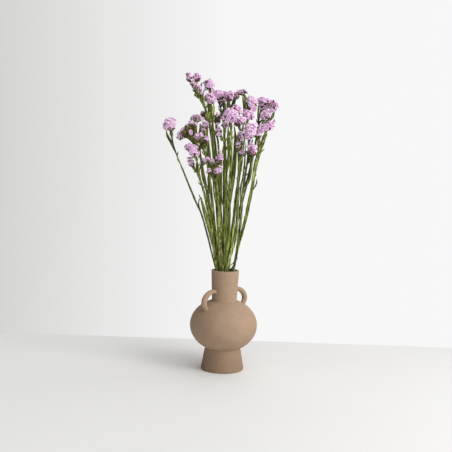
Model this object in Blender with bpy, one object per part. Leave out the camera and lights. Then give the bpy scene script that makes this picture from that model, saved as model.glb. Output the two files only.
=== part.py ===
"""A bunch of dried statice standing in a two-handled stoneware vase.

The vase is one fired piece: a turned round body on a flared foot, a tall neck and two small loops of
round clay. Every stem of statice is one winged stalk with its branches, bracts and calyx cups. Each
head of papery florets sits on the end of a branch.

The origin is the middle of the vase's underside, +Z is up and the vase is seen from -Y. Lengths in the
constants are millimetres, and scene units are metres.
"""
import math
import random

import bmesh
import bpy
from mathutils import Matrix, Vector

MM = 0.001

# Vase, by radius and height
VASE_HEIGHT = 220.0
RIM_RADIUS = 30.4
NECK_RADIUS = 27.3
NECK_BASE = 152.9
BODY_RADIUS = 74.1
BODY_MIDDLE = 98.5
BODY_HALF_HEIGHT = 58.7
WAIST_HEIGHT = 48.5
WAIST_RADIUS = 39.1
FOOT_RADIUS = 47.1
FOOT_EDGE = 3.0
WALL = 4.8
LIP = 1.3
FLOOR = 8.0
VASE_SIDES = 26
BODY_STEPS = 8
INNER_STEPS = 5

# Handles, as the middle line of the clay: distance from the vase's axis and height
HANDLE_LINE = ((25, 172.5), (36, 175.4), (46, 173.6), (55.5, 167.5),
               (61.8, 158), (61.8, 148), (55, 138), (48, 131))
HANDLE_ENDS = 4.6
HANDLE_BEND = 6.1
HANDLE_TURNS = (42.5, 227.0)
HANDLE_SIDES = 8
HANDLE_STEPS = 9

# The picture's point of view, which settles where a piece lies once its depth is chosen
EYE = Vector((0.0, -1578.5, 435.6))

# Stems
STEM_GAP = 0.3
STEM_BOTTOM = FLOOR + STEM_GAP
SHOULDER = 150.0
MOUTH_HEIGHT = 222.0
MOUTH_SPREAD = 1.15
STEM_STEPS = 6
GROOVE = 0.46
WING_SWELL = 0.62
BRANCH_RADIUS = 1.35
CUP_HEIGHT = 6.0
CUP_RADIUS = 4.6
CUP_GAP = 0.35
BRACT_WIDTH = 5.6
BRACT_THICKNESS = 1.0
BRACT_PROFILE = ((0.55, 0.85), (1.0, 1.0), (0.12, 0.42))
BRACT_WIDEST = 0.45
BRACT_FORWARD = -0.35
BRACT_SPREAD = 1.4
SHOOT_PROFILE = ((0.45, 1.3), (0.9, 1.6), (1.0, 1.5), (0.15, 0.8))
SHOOT_STEPS = 3
BRANCH_SIDES = 5
BRANCH_TURN = 0.3
BRANCH_FOOT = 1.2
PULL = 0.4
CURVE_STEPS = 8
TURN_A_STEP = 0.35
TURN_BY_DEPTH = 0.1
TAPER = 0.25
RIPPLE = 0.08
NOD = 0.25

# Florets
FLORET_RADIUS = 5.6
FULLNESS = 1.08
FLORET_LOBES = 5
DISH = 1.6
FLORET_SHARE = 0.74
FEWEST_FLORETS = 3
ROOT_HEIGHT = -0.25
ROOT_LIFT = 0.5
CORE_SHARE = 0.5
CORE_SIDES = 5
SEAT_RADIUS = 2.6
LEAST_DEPTH = 0.6
CROWDING = 0.71
FIRST_RISE = 0.35
ROUNDS = 40
CLOSEST = 0.5
PUSH_SHARE = 0.12
LONGEST_PUSH = 0.15
REACH = 0.97
LOWEST_ANGLE = math.radians(103.0)
GOLDEN_ANGLE = math.pi * (3.0 - math.sqrt(5.0))


def spray(depth, root, radius, stem, heads, bracts=(), tone="green"):
    """One stem's measures.

    depth: how far its flowers lie behind the vase's axis; root: where it stands in the neck;
    stem: the stalk above the rim, as it appears from the front, across and height;
    heads: across, height, width, length, lean in degrees, further depth, and how far down the
    stalk the head's branch starts; bracts: how far below the first head, length and lean.
    """
    return dict(depth=depth, root=root, radius=radius, stem=stem, heads=heads, bracts=bracts, tone=tone)


SPRAYS = {
    "far_left": spray(
        0, (-19, 0), 1.7, ((-50, 331), (-70, 372), (-100, 436), (-119, 480), (-124, 505)),
        ((-130, 534, 27, 32, 12, 0, 0),), ((28, 15, -24), (48, 13, 26)), "dark"),
    "low_left": spray(
        -50, (-15.8, -6.2), 2.7, ((-25, 252), (-37, 329), (-50, 390), (-62, 426)),
        ((-80, 479, 32, 20, 25, -6, 0), (-82, 452, 12, 20, -32, 9, 6), (-54, 457, 11, 15, 28, 12, 12)),
        ((20, 14, 28), (38, 15, -26), (62, 16, -30), (68, 14, 26)), "green"),
    "left": spray(
        32, (-15.8, 6.2), 2.8, ((-19, 252), (-32, 318), (-46, 394), (-61, 462), (-66, 486)),
        ((-74, 551, 22, 18, 4, 0, 0), (-96, 519, 52, 19, -48, -26, 20)),
        ((13, 16, -30), (28, 18, 30), (44, 17, -32), (60, 17, 24), (76, 18, -36), (94, 15, 20)), "olive"),
    "top_left": spray(
        4, (-12.2, 0), 3.1, ((-16, 286), (-23, 373), (-33, 460), (-44, 535), (-56, 573), (-68, 598)),
        ((-92, 636, 14, 20, -24, -4, 0), (-75, 636, 17, 20, 8, 6, 4), (-72, 615, 18, 13, 20, -13, 16)),
        ((20, 13, -34), (60, 17, 32), (95, 15, 22)), "green"),
    "left_inner": spray(
        -22, (-8.6, -6.2), 2.6, ((-15, 253), (-26, 318), (-37, 395), (-47, 449), (-53, 478)),
        ((-54, 534, 15, 20, 6, 4, 0), (-71, 508, 13, 17, -30, -6, 4), (-51, 504, 13, 17, 22, -12, 10)),
        ((20, 15, 30), (50, 15, -28), (64, 14, 30)), "olive"),
    "left_crown": spray(
        30, (-8.6, 6.2), 2.7, ((-9, 286), (-18, 373), (-29, 482), (-37, 535), (-40, 566)),
        ((-49, 621, 22, 23, -8, 8, 0), (-45, 592, 24, 22, 6, -15, 6)),
        ((15, 14, 26), (36, 15, -28), (52, 15, -30), (64, 13, 24)), "green"),
    "back": spray(
        64, (-12.2, 12.5), 2.2, ((-14, 264), (-17, 341), (-20, 417), (-23, 473), (-26, 520)),
        ((-28, 548, 16, 24, 4, 0, 0), (-60, 559, 10, 14, -34, 0, 26)), ((24, 12, 30),), "dark"),
    "lowest": spray(
        -60, (-5, -12.5), 2.6, ((-11, 264), (-17, 330), (-22, 376), (-25, 404)),
        ((-36, 457, 12, 12, -12, 10, 0), (-20, 463, 12, 24, 10, 4, 4), (-23, 437, 15, 14, 14, -8, 10),
         (-42, 435, 10, 13, -30, -6, 14)),
        ((20, 13, -26), (64, 13, 28)), "olive"),
    "crown": spray(
        58, (-5, 12.5), 2.3, ((-6, 308), (-9, 417), (-12, 504), (-15, 543), (-13, 560)),
        ((-26, 599, 35, 22, -8, 0, 0), (-5, 598, 21, 25, 4, -22, 3), (11, 600, 14, 18, 22, 6, 6)),
        ((10, 15, 28), (26, 18, 20), (34, 15, -20), (54, 13, 30)), "dark"),
    "middle": spray(
        -14, (-3.4, 0), 4.0, ((0, 286), (-5, 396), (-9, 482), (-11, 512)),
        ((-11, 537, 16, 11, 0, 0, 0), (-24, 524, 11, 19, -20, -9, 12)),
        ((28, 16, -20), (46, 17, 16)), "pale"),
    "middle_front": spray(
        -45, (-1.4, -7.2), 2.7, ((5, 286), (4, 396), (4, 483), (4, 524)),
        ((0, 555, 31, 29, -4, -3, 0), (15, 571, 25, 16, 42, 17, 12)),
        ((32, 14, 24), (50, 14, -20)), "green"),
    "right_crown": spray(
        30, (2.2, 13), 2.5, ((7, 264), (15, 342), (23, 440), (28, 527), (30, 574)),
        ((22, 608, 22, 13, -10, 6, 0), (45, 585, 26, 28, 24, -10, 4)),
        ((10, 15, 28), (34, 16, -28), (46, 17, 26), (64, 14, 34)), "olive"),
    "right_front": spray(
        -4, (5.8, -5.4), 2.4, ((11, 264), (18, 375), (27, 451), (31, 500), (33, 520)),
        ((36, 555, 24, 18, 4, 0, 0), (17, 544, 19, 18, -16, -8, 8)),
        ((10, 15, -30), (32, 16, 26), (50, 13, -24)), "green"),
    "low_middle": spray(
        -30, (2.2, -13.2), 2.5, ((11, 253), (21, 309), (23, 407), (22, 444)),
        ((22, 514, 12, 21, 4, 6, 0), (19, 496, 13, 13, -14, -5, 6), (27, 477, 14, 15, 16, -13, 12)),
        ((14, 14, -28), (42, 15, 28), (66, 15, 26), (82, 13, -26)), "pale"),
    "right_low": spray(
        -56, (10.4, -10.4), 2.4, ((16, 250), (23, 285), (29, 330), (32, 386), (39, 445), (40, 462)),
        ((43, 524, 23, 32, 4, 6, 0), (51, 483, 18, 28, 16, -8, 10)),
        ((28, 15, -26), (62, 14, -22), (74, 15, 28)), "dark"),
    "far_right": spray(
        22, (7.2, 6.2), 2.5, ((10, 253), (24, 331), (37, 397), (46, 441), (58, 512), (62, 548)),
        ((71, 590, 32, 18, 4, 10, 0), (92, 583, 24, 23, 24, -8, 14), (78, 562, 20, 17, 22, -21, 30)),
        ((12, 14, 28), (38, 14, -24), (58, 18, 34), (72, 14, 30)), "dark"),
    "low_right": spray(
        0, (16, 0), 3.0, ((24, 261), (41, 332), (54, 408), (58, 437), (70, 490)),
        ((78, 535, 36, 18, -22, -5, 0), (61, 516, 14, 14, -12, -8, 6)),
        ((14, 15, -28), (42, 15, 30), (56, 16, -20), (98, 12, 28)), "green"),
}

# Leafy side shoots without flowers: width, height of the stalk where the shoot starts, further depth
# at its tip, and the points it passes as they appear from the front
SHOOTS = {
    "low_left": ((7, 268, 0, ((-46, 338), (-63, 384))),),
    "left": (
        (8, 478, -6, ((-62, 502), (-65, 538))),
        (7, 478, 0, ((-92, 507), (-106, 509)))),
    "top_left": (
        (9, 400, -10, ((-43, 460), (-48, 500))),
        (7, 578, -6, ((-62, 596), (-58, 610)))),
    "crown": ((7, 552, 0, ((-14, 572), (-17, 592))),),
    "middle": ((8, 430, 12, ((-2, 480), (-3, 526))),),
    "middle_front": ((9, 372, 18, ((12, 445), (14, 500), (10, 526))),),
    "far_right": ((7, 526, 8, ((88, 556), (95, 573))),),
    "low_right": ((5, 382, -6, ((55, 445), (61, 480))),),
}

STEM_COLOURS = {
    "green": (0.115, 0.150, 0.030),
    "pale": (0.230, 0.290, 0.075),
    "olive": (0.135, 0.140, 0.035),
    "dark": (0.060, 0.075, 0.018),
}
PETAL_COLOUR = (0.545, 0.270, 0.480)
CLAY_COLOUR = (0.400, 0.300, 0.225)


def material_named(name, colour, roughness):
    """Plain Principled material."""
    material = bpy.data.materials.new(name)
    material.use_nodes = True
    shader = material.node_tree.nodes["Principled BSDF"]
    shader.inputs["Base Color"].default_value = (*colour, 1.0)
    shader.inputs["Roughness"].default_value = roughness
    shader.inputs["Metallic"].default_value = 0.0
    return material


def object_from(name, mesh_data):
    """Links a bmesh, whose lengths are millimetres, to the scene as an object in metres."""
    bmesh.ops.recalc_face_normals(mesh_data, faces=mesh_data.faces)
    bmesh.ops.scale(mesh_data, vec=(MM, MM, MM), verts=mesh_data.verts)
    mesh = bpy.data.meshes.new(name)
    mesh_data.to_mesh(mesh)
    mesh_data.free()
    thing = bpy.data.objects.new(name, mesh)
    bpy.context.scene.collection.objects.link(thing)
    return thing


def body_volume(faces):
    """Signed volume inside a group of faces."""
    total = 0.0
    for face in faces:
        first = face.verts[0].co
        for second, third in zip(face.verts[1:-1], face.verts[2:]):
            total += first.dot(second.co.cross(third.co)) / 6.0
    return total


def keep_main_body(mesh):
    """Keeps the largest closed surface, so sealed hollows are filled and loose scraps go."""
    shape = bmesh.new()
    shape.from_mesh(mesh)
    waiting = set(shape.faces)
    bodies = []
    while waiting:
        group = {waiting.pop()}
        edge_of_group = list(group)
        while edge_of_group:
            face = edge_of_group.pop()
            for edge in face.edges:
                for other in edge.link_faces:
                    if other in waiting:
                        waiting.remove(other)
                        group.add(other)
                        edge_of_group.append(other)
        bodies.append(group)
    bodies.sort(key=body_volume)
    for group in bodies[:-1]:
        bmesh.ops.delete(shape, geom=list(group), context="FACES")
    shape.to_mesh(mesh)
    shape.free()


def fuse(name, pieces, solver="EXACT"):
    """Joins overlapping pieces into one closed body with a Boolean union."""
    whole = pieces[0]
    whole.name = name
    whole.data.name = name
    group = bpy.data.collections.new(name + "_pieces")
    bpy.context.scene.collection.children.link(group)
    for piece in pieces[1:]:
        bpy.context.scene.collection.objects.unlink(piece)
        group.objects.link(piece)
    join = whole.modifiers.new("join", "BOOLEAN")
    join.operation = "UNION"
    join.operand_type = "COLLECTION"
    join.collection = group
    join.solver = solver
    bpy.context.view_layer.objects.active = whole
    bpy.ops.object.modifier_apply(modifier=join.name)
    for piece in pieces[1:]:
        bpy.data.objects.remove(piece)
    bpy.data.collections.remove(group)
    keep_main_body(whole.data)
    return whole


def smooth_line(points, steps):
    """Even points along a smooth curve through the given ones."""
    ends = [2 * points[0] - points[1]] + list(points) + [2 * points[-1] - points[-2]]
    fine = []
    for before, start, end, after in zip(ends, ends[1:], ends[2:], ends[3:]):
        for count in range(CURVE_STEPS):
            t = count / CURVE_STEPS
            bend = (2 * before - 5 * start + 4 * end - after) * t ** 2
            twist = (3 * start - before - 3 * end + after) * t ** 3
            fine.append(0.5 * (2 * start + (end - before) * t + bend + twist))
    fine.append(points[-1].copy())
    reach = [0.0]
    for start, end in zip(fine, fine[1:]):
        reach.append(reach[-1] + (end - start).length)
    even = []
    place = 0
    for count in range(steps + 1):
        wanted = reach[-1] * count / steps
        while place < len(fine) - 2 and reach[place + 1] < wanted:
            place += 1
        share = (wanted - reach[place]) / (reach[place + 1] - reach[place])
        even.append(fine[place].lerp(fine[place + 1], min(max(share, 0.0), 1.0)))
    return even


def curve_between(start, start_way, end, end_way, steps):
    """Bent line that leaves start along start_way and reaches end along end_way."""
    pull = PULL * (end - start).length
    first = start + start_way * pull
    second = end - end_way * pull
    line = []
    for count in range(steps + 1):
        t = count / steps
        near = (1 - t) ** 3 * start + 3 * t * (1 - t) ** 2 * first
        line.append(near + 3 * t ** 2 * (1 - t) * second + t ** 3 * end)
    return line


def ways_along(line):
    """Unit direction at each point of a line."""
    ways = []
    for count in range(len(line)):
        before = line[max(count - 1, 0)]
        after = line[min(count + 1, len(line) - 1)]
        ways.append((after - before).normalized())
    return ways


def sweep(name, line, rings):
    """Closed solid along a line; a ring is a list of angle and radius pairs, one ring for each point."""
    shape = bmesh.new()
    previous = None
    for point, way, ring in zip(line, ways_along(line), rings):
        side = Vector((0, 1, 0)).cross(way).normalized()
        front = way.cross(side)
        current = []
        for angle, radius in ring:
            offset = side * (math.cos(angle) * radius) + front * (math.sin(angle) * radius)
            current.append(shape.verts.new(point + offset))
        if previous is None:
            shape.faces.new(current[::-1])
        else:
            for low, low_next, high, high_next in zip(previous, previous[1:] + previous[:1],
                                                      current, current[1:] + current[:1]):
                shape.faces.new((low, low_next, high_next, high))
        previous = current
    shape.faces.new(previous)
    bmesh.ops.triangulate(shape, faces=shape.faces)
    return object_from(name, shape)


def round_ring(sides, radius, turn=0.0):
    """Regular ring for a sweep."""
    return [(turn + math.tau * count / sides, radius) for count in range(sides)]


def winged_ring(radius, turn):
    """Section of a statice stem, which has three thin wings on a slender core."""
    return [(turn + math.pi * count / 3.0, radius * (GROOVE if count % 2 else 1.0)) for count in range(6)]


def in_depth(across, height, depth):
    """Point that appears at across and height on the plane of the vase's axis, moved to its depth."""
    flat = Vector((across, 0.0, height))
    return EYE + (flat - EYE) * ((depth - EYE.y) / -EYE.y)


def vase_outline():
    """Half section from the middle of the underside, round the rim, to the middle of the inner floor."""
    outline = [(0.0, 0.0), (FOOT_RADIUS - FOOT_EDGE, 0.0)]
    outline.append((FOOT_RADIUS - 0.3 * FOOT_EDGE, 0.3 * FOOT_EDGE))
    outline.append((FOOT_RADIUS, FOOT_EDGE))
    outline.append((WAIST_RADIUS, WAIST_HEIGHT))
    start = math.asin((WAIST_HEIGHT - BODY_MIDDLE) / BODY_HALF_HEIGHT)
    end = math.asin((NECK_BASE - BODY_MIDDLE) / BODY_HALF_HEIGHT)
    for count in range(1, BODY_STEPS):
        angle = start + (end - start) * count / BODY_STEPS
        outline.append((BODY_RADIUS * math.cos(angle), BODY_MIDDLE + BODY_HALF_HEIGHT * math.sin(angle)))
    outline.append((NECK_RADIUS, NECK_BASE))
    outline.append((RIM_RADIUS, VASE_HEIGHT - LIP))
    outline.append((RIM_RADIUS - LIP, VASE_HEIGHT))
    outline.append((RIM_RADIUS - WALL + LIP, VASE_HEIGHT))
    outline.append((RIM_RADIUS - WALL, VASE_HEIGHT - LIP))
    outline.append((NECK_RADIUS - WALL, NECK_BASE))
    top = math.asin((NECK_BASE - WALL - BODY_MIDDLE) / (BODY_HALF_HEIGHT - WALL / 2))
    low = math.asin((WAIST_HEIGHT - BODY_MIDDLE) / (BODY_HALF_HEIGHT - WALL / 2))
    for count in range(INNER_STEPS + 1):
        angle = top + (low - top) * count / INNER_STEPS
        radius = (BODY_RADIUS - WALL) * math.cos(angle)
        outline.append((radius, BODY_MIDDLE + (BODY_HALF_HEIGHT - WALL / 2) * math.sin(angle)))
    outline.append((FOOT_RADIUS - 2 * WALL, FLOOR + WALL))
    outline.append((FOOT_RADIUS - 3 * WALL, FLOOR))
    outline.append((0.0, FLOOR))
    return outline


def turned_vase():
    """Body of the vase, spun about its axis."""
    shape = bmesh.new()
    corners = [shape.verts.new((radius, 0.0, height)) for radius, height in vase_outline()]
    edges = [shape.edges.new(pair) for pair in zip(corners, corners[1:])]
    bmesh.ops.spin(shape, geom=corners + edges, cent=(0, 0, 0), axis=(0, 0, 1), dvec=(0, 0, 0),
                   angle=math.tau, steps=VASE_SIDES, use_merge=True)
    bmesh.ops.remove_doubles(shape, verts=shape.verts, dist=0.001)
    bmesh.ops.triangulate(shape, faces=shape.faces)
    return object_from("vase", shape)


def handle(turn):
    """One loop of round clay, in an upright plane at an angle about the vase's axis."""
    turned = Matrix.Rotation(math.radians(turn), 3, "Z")
    corners = [turned @ Vector((reach, 0.0, height)) for reach, height in HANDLE_LINE]
    line = smooth_line(corners, HANDLE_STEPS)
    across = turned @ Vector((0.0, 1.0, 0.0))
    shape = bmesh.new()
    previous = None
    for number, (point, way) in enumerate(zip(line, ways_along(line))):
        clay = HANDLE_ENDS + (HANDLE_BEND - HANDLE_ENDS) * math.sin(math.pi * number / HANDLE_STEPS)
        front = way.cross(across)
        current = []
        for count in range(HANDLE_SIDES):
            angle = math.tau * count / HANDLE_SIDES
            offset = across * math.cos(angle) + front * math.sin(angle)
            current.append(shape.verts.new(point + offset * clay))
        if previous is None:
            shape.faces.new(current[::-1])
        else:
            for low, low_next, high, high_next in zip(previous, previous[1:] + previous[:1],
                                                      current, current[1:] + current[:1]):
                shape.faces.new((low, low_next, high_next, high))
        previous = current
    shape.faces.new(previous)
    bmesh.ops.triangulate(shape, faces=shape.faces)
    return object_from("handle", shape)


def make_vase():
    """The whole fired piece."""
    vase = fuse("vase", [turned_vase()] + [handle(turn) for turn in HANDLE_TURNS])
    vase.data.materials.append(material_named("stoneware", CLAY_COLOUR, 0.85))
    vase.data.shade_smooth()
    vase.data.set_sharp_from_angle(angle=math.radians(35.0))


def stem_line(measures):
    """Middle line of a stalk, from the vase's floor to its top."""
    root = Vector((*measures["root"], 0.0))
    mouth = Vector((root.x * MOUTH_SPREAD, root.y * MOUTH_SPREAD, MOUTH_HEIGHT))
    top_height = measures["stem"][-1][1]
    upper = [mouth]
    for across, height in measures["stem"]:
        share = (height - MOUTH_HEIGHT) / (top_height - MOUTH_HEIGHT)
        upper.append(in_depth(across, height, mouth.y + (measures["depth"] - mouth.y) * share))
    lower = [root + Vector((0, 0, STEM_BOTTOM)), root + Vector((0, 0, SHOULDER))]
    return lower + smooth_line(upper, STEM_STEPS)


def head_frame(measures, head):
    """Middle of a head, the way it faces and its seat on the branch."""
    across, height, _, length, lean, further, _ = head
    depth = measures["depth"] + further
    lean = math.radians(lean)
    nod = math.radians(NOD * depth)
    facing = Vector((math.sin(lean), math.sin(nod), math.cos(lean))).normalized()
    middle = in_depth(across, height, depth)
    return middle, facing, middle - facing * (FULLNESS * length / 2.0)


def point_below_top(line, distance):
    """Point on a line at a distance from its end, with the line's direction there."""
    for end, start in zip(line[::-1], line[-2::-1]):
        span = (end - start).length
        if distance <= span:
            return end.lerp(start, distance / span), (end - start).normalized()
        distance -= span
    return line[0], (line[1] - line[0]).normalized()


def branch_to(measures, head, start, start_way):
    """Middle line of a branch, and the calyx cup's top at its end."""
    _, facing, seat = head_frame(measures, head)
    top = seat - facing * CUP_GAP
    neck = top - facing * CUP_HEIGHT
    return curve_between(start, start_way, neck, facing, 2) + [top]


def make_branch(line, measures, head):
    """Side branch from the stalk to a head."""
    start, start_way = point_below_top(line, head[6])
    path = branch_to(measures, head, start, start_way)
    radii = (BRANCH_RADIUS * BRANCH_FOOT, BRANCH_RADIUS, BRANCH_RADIUS, CUP_RADIUS)
    return sweep("branch", path, [round_ring(BRANCH_SIDES, radius, BRANCH_TURN) for radius in radii])


def path_to_first_head(line, measures):
    """Stalk's middle line with the first head's branch on its end."""
    return line + branch_to(measures, measures["heads"][0], line[-1], ways_along(line)[-1])[1:]


def make_stalk(line, measures):
    """Winged stalk, which runs on as the branch of the spray's first head."""
    rings = []
    first_turn = measures["depth"] * TURN_BY_DEPTH
    for count in range(len(line)):
        above_mouth = max(count - 2, 0) / STEM_STEPS
        swell = 1.0 + WING_SWELL * math.sin(math.pi * above_mouth) - TAPER * count / (len(line) - 1)
        ripple = 1.0 + RIPPLE * math.sin(5.0 * count + measures["depth"])
        rings.append(winged_ring(measures["radius"] * swell * ripple, first_turn + TURN_A_STEP * count))
    turn = first_turn + TURN_A_STEP * len(line)
    for radius in (BRANCH_RADIUS, BRANCH_RADIUS, CUP_RADIUS):
        rings.append(round_ring(6, radius, turn))
    return sweep("stalk", path_to_first_head(line, measures), rings)


def make_bract(path, bract):
    """Small pointed leaf on the stalk or on the first head's branch."""
    below, length, lean = bract
    start, way = point_below_top(path, below)
    outwards = Vector((math.sin(math.radians(lean)), BRACT_FORWARD, 0.0))
    facing = (way + outwards * BRACT_SPREAD).normalized()
    shape_line = [start, start + facing * length * BRACT_WIDEST, start + facing * length]
    rings = []
    for width, thickness in BRACT_PROFILE:
        half = BRACT_WIDTH * width / 2.0
        edge = BRACT_THICKNESS * thickness / 2.0
        rings.append([(0.0, half), (math.pi / 2, edge), (math.pi, half)])
    return sweep("bract", shape_line, rings)


def point_at_height(line, height):
    """Point where a rising line passes a height."""
    for low, high in zip(line, line[1:]):
        if low.z <= height <= high.z:
            return low.lerp(high, (height - low.z) / (high.z - low.z))
    return line[-1]


def make_shoot(line, shoot):
    """Narrow leafy shoot that leaves the stalk and ends without a head."""
    width, start_height, further, spots = shoot
    corners = [point_at_height(line, start_height)]
    for number, (across, height) in enumerate(spots):
        depth = corners[0].y + further * (number + 1) / len(spots)
        corners.append(in_depth(across, height, depth))
    path = smooth_line(corners, SHOOT_STEPS)
    rings = []
    for share, thickness in SHOOT_PROFILE:
        half = width * share / 2.0
        edge = BRACT_THICKNESS * thickness / 2.0
        rings.append([(0.0, half), (math.pi / 2, edge), (math.pi, half)])
    return sweep("shoot", path, rings)


def make_stem(name, measures):
    """One stalk of statice with its branches, shoots and bracts, fused."""
    line = stem_line(measures)
    pieces = [make_stalk(line, measures)]
    for head in measures["heads"][1:]:
        pieces.append(make_branch(line, measures, head))
    for shoot in SHOOTS.get(name, ()):
        pieces.append(make_shoot(line, shoot))
    path = path_to_first_head(line, measures)
    for bract in measures["bracts"]:
        pieces.append(make_bract(path, bract))
    stem = fuse("stem_" + name, pieces)
    stem.data.materials.append(material_named("stem_" + name, STEM_COLOURS[measures["tone"]], 0.75))


def spread_on_dome(count, half):
    """Evenly spread points on the upper part of an ellipsoid, as vectors from its middle.

    They start on a spiral and then push each other apart over a few rounds.
    """
    lowest = math.cos(LOWEST_ANGLE)
    points = []
    for number in range(count):
        rise = 1.0 - (1.0 - lowest) * (number + FIRST_RISE) / count
        around = GOLDEN_ANGLE * number
        flat = math.sqrt(max(1.0 - rise * rise, 0.0))
        points.append(Vector((flat * math.cos(around), flat * math.sin(around), rise)))
    for _ in range(ROUNDS):
        moved = []
        for number, point in enumerate(points):
            push = Vector((0, 0, 0))
            for other_number, other in enumerate(points):
                if other_number != number:
                    apart = (point - other) * half
                    push += apart.normalized() / max(apart.length, CLOSEST) ** 3
            push *= PUSH_SHARE * half.x ** 2
            if push.length > LONGEST_PUSH:
                push = push.normalized() * LONGEST_PUSH
            step = (point + push).normalized()
            if step.z < lowest:
                flat = math.sqrt(1.0 - lowest * lowest) / math.hypot(step.x, step.y)
                step = Vector((step.x * flat, step.y * flat, lowest))
            moved.append(step)
        points = moved
    reach_x = max(abs(point.x) for point in points)
    reach_y = max(abs(point.y) for point in points)
    stretch = Vector((half.x * REACH / reach_x, half.y * REACH / reach_y, half.z))
    return [point * stretch for point in points]


def make_floret(root, mouth, radius, spin):
    """Papery funnel: five lobes round a dished mouth, narrowing to its root."""
    way = (mouth - root).normalized()
    side = way.orthogonal().normalized()
    front = way.cross(side)
    shape = bmesh.new()
    rim = []
    for count in range(FLORET_LOBES):
        angle = spin + math.tau * count / FLORET_LOBES
        offset = side * math.cos(angle) + front * math.sin(angle)
        rim.append(shape.verts.new(mouth + offset * radius))
    heart = shape.verts.new(mouth - way * DISH)
    foot = shape.verts.new(root)
    for corner, following in zip(rim, rim[1:] + rim[:1]):
        shape.faces.new((foot, following, corner))
        shape.faces.new((heart, corner, following))
    return object_from("floret", shape)


def make_core(middle, turned, half):
    """Small body that the florets stand out of, with a flat seat for the calyx cup."""
    shape = bmesh.new()
    seat = []
    shoulder = []
    for count in range(CORE_SIDES):
        angle = math.tau * count / CORE_SIDES
        around = Vector((math.cos(angle), math.sin(angle), 0.0))
        wide = Vector((around.x * half.x, around.y * half.y, 0.0)) * CORE_SHARE
        seat.append(shape.verts.new(middle + turned @ (around * SEAT_RADIUS - Vector((0, 0, half.z)))))
        shoulder.append(shape.verts.new(middle + turned @ wide))
    tip = shape.verts.new(middle + turned @ Vector((0, 0, half.z * CORE_SHARE)))
    shape.faces.new(seat[::-1])
    for count in range(CORE_SIDES):
        following = (count + 1) % CORE_SIDES
        shape.faces.new((seat[count], seat[following], shoulder[following], shoulder[count]))
        shape.faces.new((shoulder[count], shoulder[following], tip))
    bmesh.ops.triangulate(shape, faces=shape.faces)
    return object_from("core", shape)


def make_head(name, measures, head, chance):
    """One head: florets all over a small core, fused."""
    middle, facing, _ = head_frame(measures, head)
    side = Vector((0, 1, 0)).cross(facing).normalized()
    turned = Matrix((side, facing.cross(side), facing)).transposed()
    half_width = FULLNESS * head[2] / 2.0
    half_length = FULLNESS * head[3] / 2.0
    half_depth = min(half_width, max(half_length, LEAST_DEPTH * half_width))
    half = Vector((half_width, half_depth, half_length))
    radius = min(FLORET_RADIUS, FLORET_SHARE * min(half_width, half_depth, half_length * 1.15))
    mean_half = (half_width * half_depth * half_length) ** (1.0 / 3.0)
    surface = math.tau * mean_half ** 2 * (1.0 - math.cos(LOWEST_ANGLE))
    count = max(FEWEST_FLORETS, round(surface * CROWDING / (math.pi * radius ** 2)))
    pieces = [make_core(middle, turned, half)]
    for local in spread_on_dome(count, half):
        size = radius * chance.uniform(0.9, 1.06)
        reach = local.length
        mouth = local * (math.sqrt(max(reach ** 2 - size ** 2, 0.2 * reach ** 2)) / reach)
        slide = local.x * max(0.0, 1.0 - half_depth / half_width)
        root = Vector((slide, 0.0, ROOT_HEIGHT * half_length))
        root += (mouth - root).normalized() * ROOT_LIFT
        spin = chance.uniform(0, math.tau)
        pieces.append(make_floret(middle + turned @ root, middle + turned @ mouth, size, spin))
    flowers = fuse(name, pieces)
    flowers.data.materials.append(material_named(name, PETAL_COLOUR, 0.8))


def clear_scene():
    """Starts from nothing."""
    for thing in list(bpy.data.objects):
        bpy.data.objects.remove(thing, do_unlink=True)


def build():
    """Vase first, then each stem with its heads."""
    clear_scene()
    make_vase()
    for number, (name, measures) in enumerate(SPRAYS.items()):
        chance = random.Random(100 + number)
        make_stem(name, measures)
        for place, head in enumerate(measures["heads"]):
            make_head(f"flowers_{name}_{place + 1}", measures, head, chance)


build()
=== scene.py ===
"""Dried statice in a two-handled stoneware vase, dressed for its picture."""
import math
import random

import bpy
from mathutils import Matrix, Vector, noise


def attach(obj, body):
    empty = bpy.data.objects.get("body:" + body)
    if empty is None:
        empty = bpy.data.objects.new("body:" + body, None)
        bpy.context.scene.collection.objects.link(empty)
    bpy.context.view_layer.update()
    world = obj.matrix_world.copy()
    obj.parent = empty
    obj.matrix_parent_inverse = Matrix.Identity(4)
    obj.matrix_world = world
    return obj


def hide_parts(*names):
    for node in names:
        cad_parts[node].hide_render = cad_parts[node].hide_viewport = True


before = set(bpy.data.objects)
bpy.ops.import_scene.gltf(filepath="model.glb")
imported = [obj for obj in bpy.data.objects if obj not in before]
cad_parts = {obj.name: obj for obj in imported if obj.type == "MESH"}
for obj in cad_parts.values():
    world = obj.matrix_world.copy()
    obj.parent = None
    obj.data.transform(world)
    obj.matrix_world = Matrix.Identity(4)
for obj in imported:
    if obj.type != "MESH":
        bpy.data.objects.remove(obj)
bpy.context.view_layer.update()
MM = 0.001

# Camera
# A long lens a little above the flowers' middle, looking slightly down and tipped a little, so the vase
# leans in the picture although it stands upright.
PHOTO_WIDTH = 452
FOCAL_PIXELS = 723.0
EYE = Vector((0.0, -1578.5, 435.6))
LOOK_DOWN = math.radians(4.30)
LOOK_ASIDE = math.radians(-0.06)
TIP = math.radians(1.92)
forward = Vector((math.sin(LOOK_ASIDE) * math.cos(LOOK_DOWN), math.cos(LOOK_ASIDE) * math.cos(LOOK_DOWN),
                  -math.sin(LOOK_DOWN)))
level = Vector((math.cos(LOOK_ASIDE), -math.sin(LOOK_ASIDE), 0.0))
above = level.cross(forward)
picture_right = level * math.cos(TIP) + above * math.sin(TIP)
picture_up = above * math.cos(TIP) - level * math.sin(TIP)
bpy.ops.object.camera_add(location=EYE * MM)
camera = bpy.context.object
camera.name = "picture_camera"
camera.data.sensor_width = 36.0
camera.data.lens = 36.0 * FOCAL_PIXELS / PHOTO_WIDTH
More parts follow.
